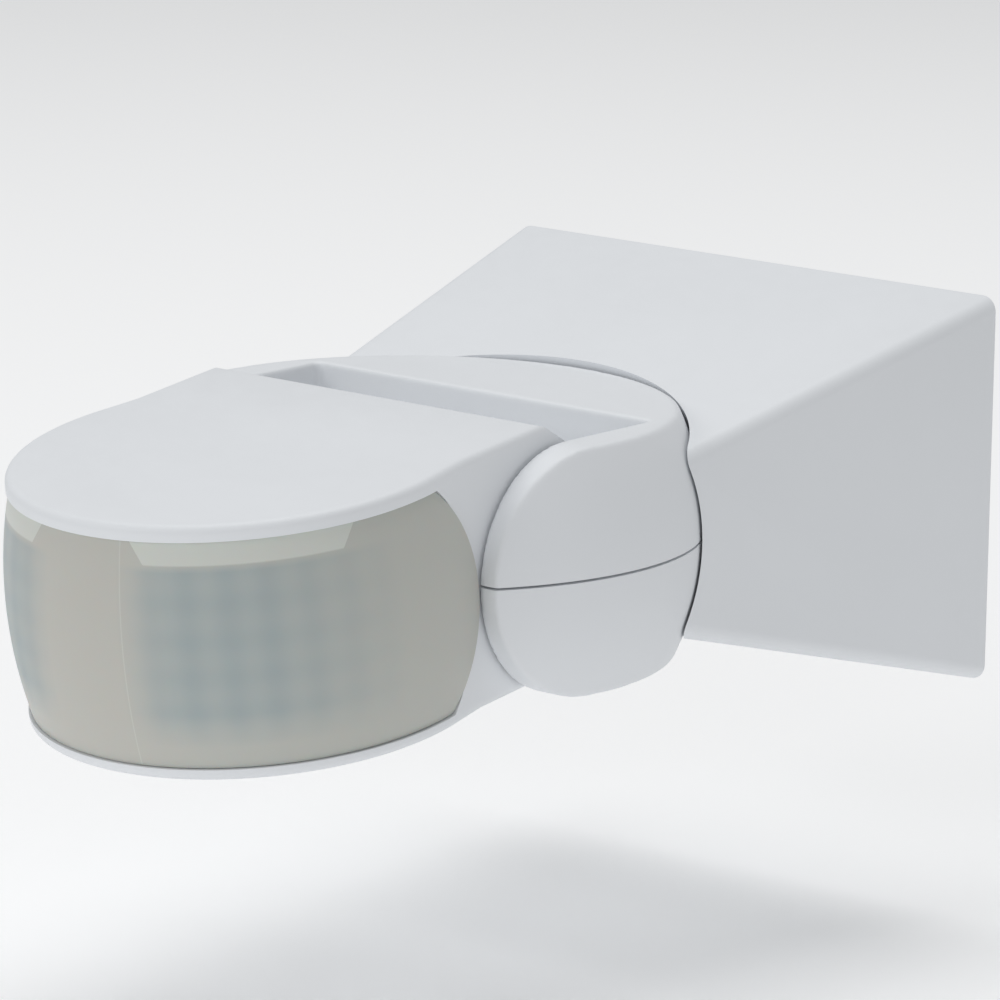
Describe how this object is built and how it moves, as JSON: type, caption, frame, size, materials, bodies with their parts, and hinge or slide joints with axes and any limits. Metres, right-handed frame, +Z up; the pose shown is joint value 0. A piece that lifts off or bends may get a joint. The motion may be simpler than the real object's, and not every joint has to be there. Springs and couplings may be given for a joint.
{
  "type": "motion sensor",
  "caption": "Wall mounted passive infrared motion sensor: wedge base, ball-shaped swivel yoke and tilting head with a wrap-round lens and adjusting knobs",
  "frame": {"origin": "middle of the wall base's back face, where it rests on the wall", "axes": "+Z up, -Y out of the wall towards the lens, +X to the right seen from in front; the wall is the plane y = 0"},
  "size_m": [0.0744, 0.1198, 0.0474],
  "materials": {
    "white_abs": "satin moulded ABS, faint spark texture",
    "black_rubber": "matt moulded elastomer",
    "natural_nylon": "natural nylon, slightly waxy",
    "brass_metal": "machined brass, dull",
    "zinc_steel": "zinc plated steel",
    "lead_insulation": "PVC insulation, brown, blue and red",
    "milky_polyethylene": "milky translucent polyethylene, ribbed inside",
    "board_laminate": "glass epoxy board with green resist",
    "nickel_can": "nickel plated can",
    "dark_filter": "coated silicon filter",
    "cell_ceramic": "epoxy coated ceramic",
    "red_led": "tinted epoxy",
    "relay_blue": "filled polyester case",
    "film_yellow": "moulded capacitor case",
    "sleeve_black": "shrink sleeve",
    "grey_knob": "light grey acetal"
  },
  "bodies": {
    "base": {"base_housing": "white_abs", "back_plate": "white_abs", "wall_gasket": "black_rubber", "cable_grommet": "black_rubber", "terminal_block": "natural_nylon", "terminal_clamps": "brass_metal", "terminal_screws": "zinc_steel", "block_screws": "zinc_steel", "housing_screws": "zinc_steel", "base_leads": "lead_insulation"},
    "yoke": {"yoke_upper": "white_abs", "yoke_lower": "white_abs", "yoke_screws": "zinc_steel", "swivel_shoe": "natural_nylon", "swivel_pad": "black_rubber", "swivel_screws": "zinc_steel", "yoke_leads": "lead_insulation"},
    "head": {"head_shell": "white_abs", "head_cover": "white_abs", "head_seal": "black_rubber", "head_screws": "zinc_steel", "lens": "milky_polyethylene", "lens_frame": "white_abs", "pivot_rings": "black_rubber", "main_board": "board_laminate", "board_screws": "zinc_steel", "sensor_board": "board_laminate", "pir_sensor": "nickel_can", "pir_window": "dark_filter", "light_cell": "cell_ceramic", "status_led": "red_led", "relay": "relay_blue", "film_capacitor": "film_yellow", "storage_capacitor": "sleeve_black", "trimmers": "natural_nylon", "lead_plug": "natural_nylon", "head_leads": "lead_insulation"},
    "time_knob": {"time_knob": "grey_knob"},
    "light_knob": {"light_knob": "grey_knob"},
    "range_knob": {"range_knob": "grey_knob"}
  },
  "joints": [
    {"name": "swivel", "type": "hinge", "parent": "base", "child": "yoke", "pos_m": [0, -0.06297, 0], "axis": [0, 0, 1], "range_deg": [-30, 30]},
    {"name": "tilt", "type": "hinge", "parent": "yoke", "child": "head", "pos_m": [0, -0.06717, 0], "axis": [1, 0, 0], "range_deg": [-20, 38]},
    {"name": "time_knob_turn", "type": "hinge", "parent": "head", "child": "time_knob", "pos_m": [-0.0124, -0.09518, -0.01656], "axis": [0, -0.1357, 0.9907], "range_deg": [-135, 135]},
    {"name": "light_knob_turn", "type": "hinge", "parent": "head", "child": "light_knob", "pos_m": [0, -0.09518, -0.01656], "axis": [0, -0.1357, 0.9907], "range_deg": [-135, 135]},
    {"name": "range_knob_turn", "type": "hinge", "parent": "head", "child": "range_knob", "pos_m": [0.0124, -0.09518, -0.01656], "axis": [0, -0.1357, 0.9907], "range_deg": [-135, 135]}
  ]
}
